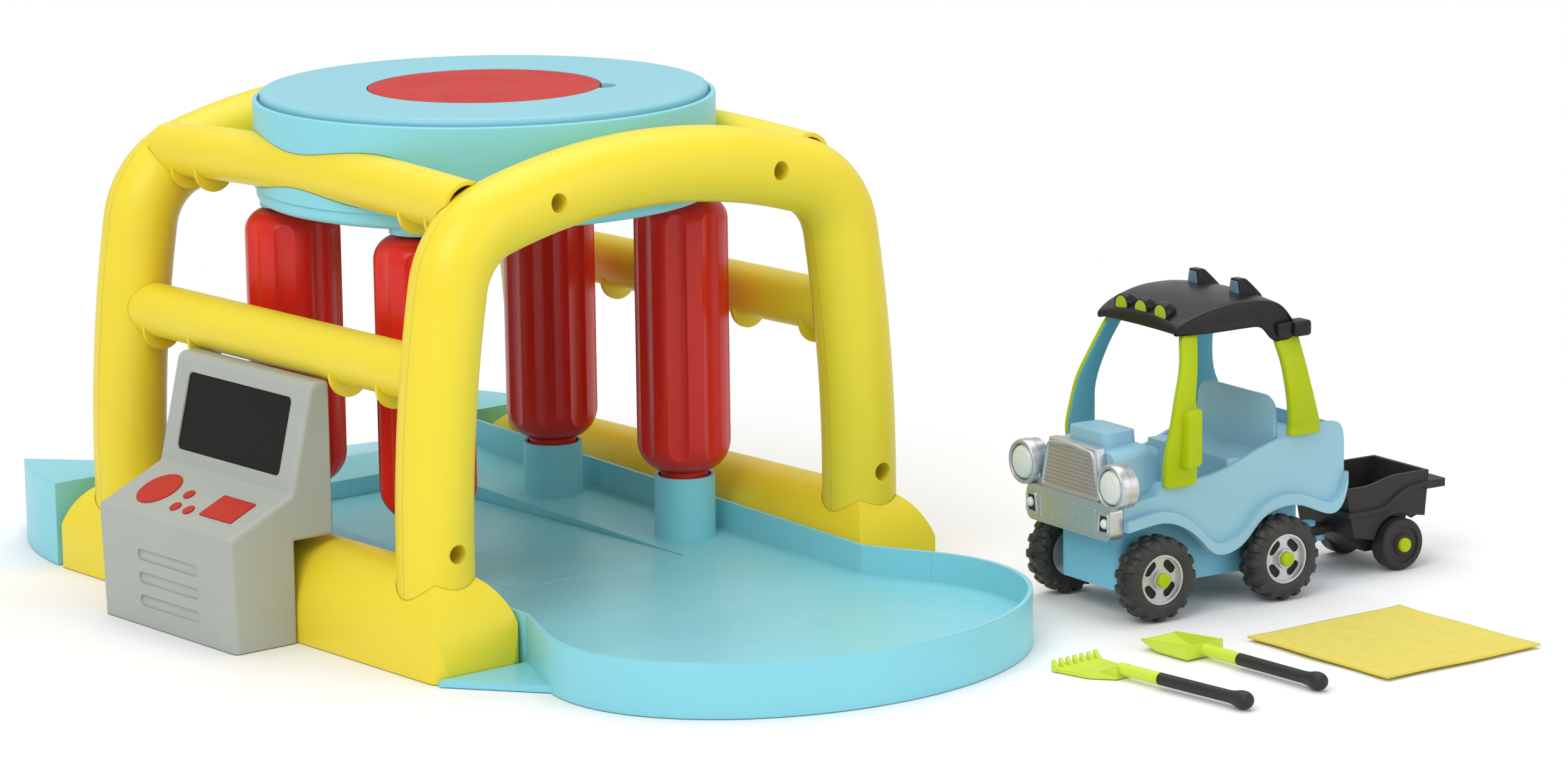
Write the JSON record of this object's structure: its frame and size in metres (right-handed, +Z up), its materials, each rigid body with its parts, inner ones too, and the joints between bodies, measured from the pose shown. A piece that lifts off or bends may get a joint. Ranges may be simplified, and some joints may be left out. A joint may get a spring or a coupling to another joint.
{
  "type": "toy car wash playset",
  "caption": "Toy car wash with arched tunnel, turning lid that spins upright brush rollers, control console, off-road truck with tipping trailer, rake, shovel and wiping cloth.",
  "frame": {"origin": "on the ground, at the middle of the tunnel, on the underside of the base tray's foot", "axes": "+X along the tunnel from the ramp to the round basin, +Y from the console side to the far side, +Z up"},
  "size_m": [0.7971, 0.5951, 0.2593],
  "materials": {
    "yellow": "smooth yellow moulding",
    "aqua": "smooth light-blue moulding",
    "red": "smooth red moulding",
    "grey": "satin grey moulding",
    "black": "smooth black moulding",
    "dark_grey": "satin dark grey moulding",
    "white": "plain white moulding, hidden gears",
    "lime": "smooth lime moulding",
    "blue": "smooth blue moulding",
    "silver": "silver-coloured plastic",
    "lamp": "pale lamp moulding",
    "tyre": "matt black tyre",
    "steel": "plain steel screws",
    "cloth": "yellow wiping cloth"
  },
  "bodies": {
    "wash_frame": {"base_tray": "aqua", "side_base_near": "yellow", "side_base_far": "yellow", "front_arch_outer": "yellow", "front_arch_inner": "yellow", "rear_arch_outer": "yellow", "rear_arch_inner": "yellow", "top_rail_near": "yellow", "top_rail_far": "yellow", "mid_rail_near": "yellow", "mid_rail_far": "yellow", "drum_housing": "aqua", "gear_cover": "aqua", "console_shell": "grey", "console_back": "grey", "console_screen": "black", "console_round_pad": "red", "console_square_pad": "red", "console_dot_pads": "red", "arch_screws": "steel", "cover_screws": "steel", "base_screws": "steel"},
    "lid": {"drive_disc": "aqua", "drive_gear": "white", "hub_screw": "steel"},
    "cap": {"centre_cap": "red"},
    "panel": {"floor_panel": "aqua"},
    "truck": {"truck_body": "aqua", "truck_chassis": "blue", "truck_grille": "silver", "truck_roof": "black", "truck_pillars_left": "lime", "truck_pillars_right": "lime", "truck_headlamps": "lamp"},
    "truck_front_wheels": {"truck_front_axle": "lime", "truck_front_tyres": "tyre", "truck_front_rims": "silver"},
    "truck_rear_wheels": {"truck_rear_axle": "lime", "truck_rear_tyres": "tyre", "truck_rear_rims": "silver"},
    "trailer": {"trailer_bed": "black"},
    "trailer_wheel_set": {"trailer_axle": "lime", "trailer_wheels": "black"},
    "rake": {"rake_head": "lime", "rake_handle": "dark_grey"},
    "shovel": {"shovel_head": "lime", "shovel_handle": "dark_grey"},
    "wiping_cloth": {"cloth": "cloth"},
    "roller_rear_near_set": {"roller_rear_near": "red", "pinion_rear_near": "white"},
    "roller_rear_far_set": {"roller_rear_far": "red", "pinion_rear_far": "white"},
    "roller_front_near_set": {"roller_front_near": "red", "pinion_front_near": "white"},
    "roller_front_far_set": {"roller_front_far": "red", "pinion_front_far": "white"}
  },
  "joints": [
    {"name": "lid_spin", "type": "hinge", "parent": "wash_frame", "child": "lid", "pos_m": [0, 0, 0.24], "axis": [0, 0, 1], "continuous": true},
    {"name": "cap_lift", "type": "slide", "parent": "lid", "child": "cap", "axis": [0, 0, 1], "range_m": [0, 0.05]},
    {"name": "panel_lift", "type": "slide", "parent": "wash_frame", "child": "panel", "axis": [0, 0, 1], "range_m": [0, 0.1]},
    {"name": "truck_roll", "type": "slide", "parent": "wash_frame", "child": "truck", "axis": [0.1219, 0.9925, 0], "range_m": [0, 0.15]},
    {"name": "truck_front_spin", "type": "hinge", "parent": "truck", "child": "truck_front_wheels", "pos_m": [0.27179, 0.18898, 0.022], "axis": [0.9925, -0.1219, 0], "continuous": true},
    {"name": "truck_rear_spin", "type": "hinge", "parent": "truck", "child": "truck_rear_wheels", "pos_m": [0.28142, 0.26739, 0.022], "axis": [0.9925, -0.1219, 0], "continuous": true},
    {"name": "trailer_yaw", "type": "hinge", "parent": "truck", "child": "trailer", "pos_m": [0.28751, 0.31701, 0.022], "axis": [0, 0, 1], "range_deg": [-30, 30]},
    {"name": "trailer_spin", "type": "hinge", "parent": "trailer", "child": "trailer_wheel_set", "pos_m": [0.29251, 0.35771, 0.0137], "axis": [0.9925, -0.1219, 0], "continuous": true},
    {"name": "rake_lift", "type": "slide", "parent": "wash_frame", "child": "rake", "axis": [0, 0, 1], "range_m": [0, 0.1]},
    {"name": "shovel_lift", "type": "slide", "parent": "wash_frame", "child": "shovel", "axis": [0, 0, 1], "range_m": [0, 0.1]},
    {"name": "cloth_lift", "type": "slide", "parent": "wash_frame", "child": "wiping_cloth", "axis": [0, 0, 1], "range_m": [0, 0.1]},
    {"name": "roller_rear_near_spin", "type": "hinge", "parent": "wash_frame", "child": "roller_rear_near_set", "pos_m": [-0.0572, -0.08324, 0.1], "axis": [0, 0, 1], "continuous": true},
    {"name": "roller_rear_far_spin", "type": "hinge", "parent": "wash_frame", "child": "roller_rear_far_set", "pos_m": [-0.0572, 0.08324, 0.1], "axis": [0, 0, 1], "continuous": true},
    {"name": "roller_front_near_spin", "type": "hinge", "parent": "wash_frame", "child": "roller_front_near_set", "pos_m": [0.0572, -0.08324, 0.1], "axis": [0, 0, 1], "continuous": true},
    {"name": "roller_front_far_spin", "type": "hinge", "parent": "wash_frame", "child": "roller_front_far_set", "pos_m": [0.0572, 0.08324, 0.1], "axis": [0, 0, 1], "continuous": true}
  ],
  "couplings": [
    {"joint": "roller_rear_near_spin", "follows": "lid_spin", "ratio": -7.4167},
    {"joint": "roller_rear_far_spin", "follows": "lid_spin", "ratio": -7.4167},
    {"joint": "roller_front_near_spin", "follows": "lid_spin", "ratio": -7.4167},
    {"joint": "roller_front_far_spin", "follows": "lid_spin", "ratio": -7.4167}
  ]
}
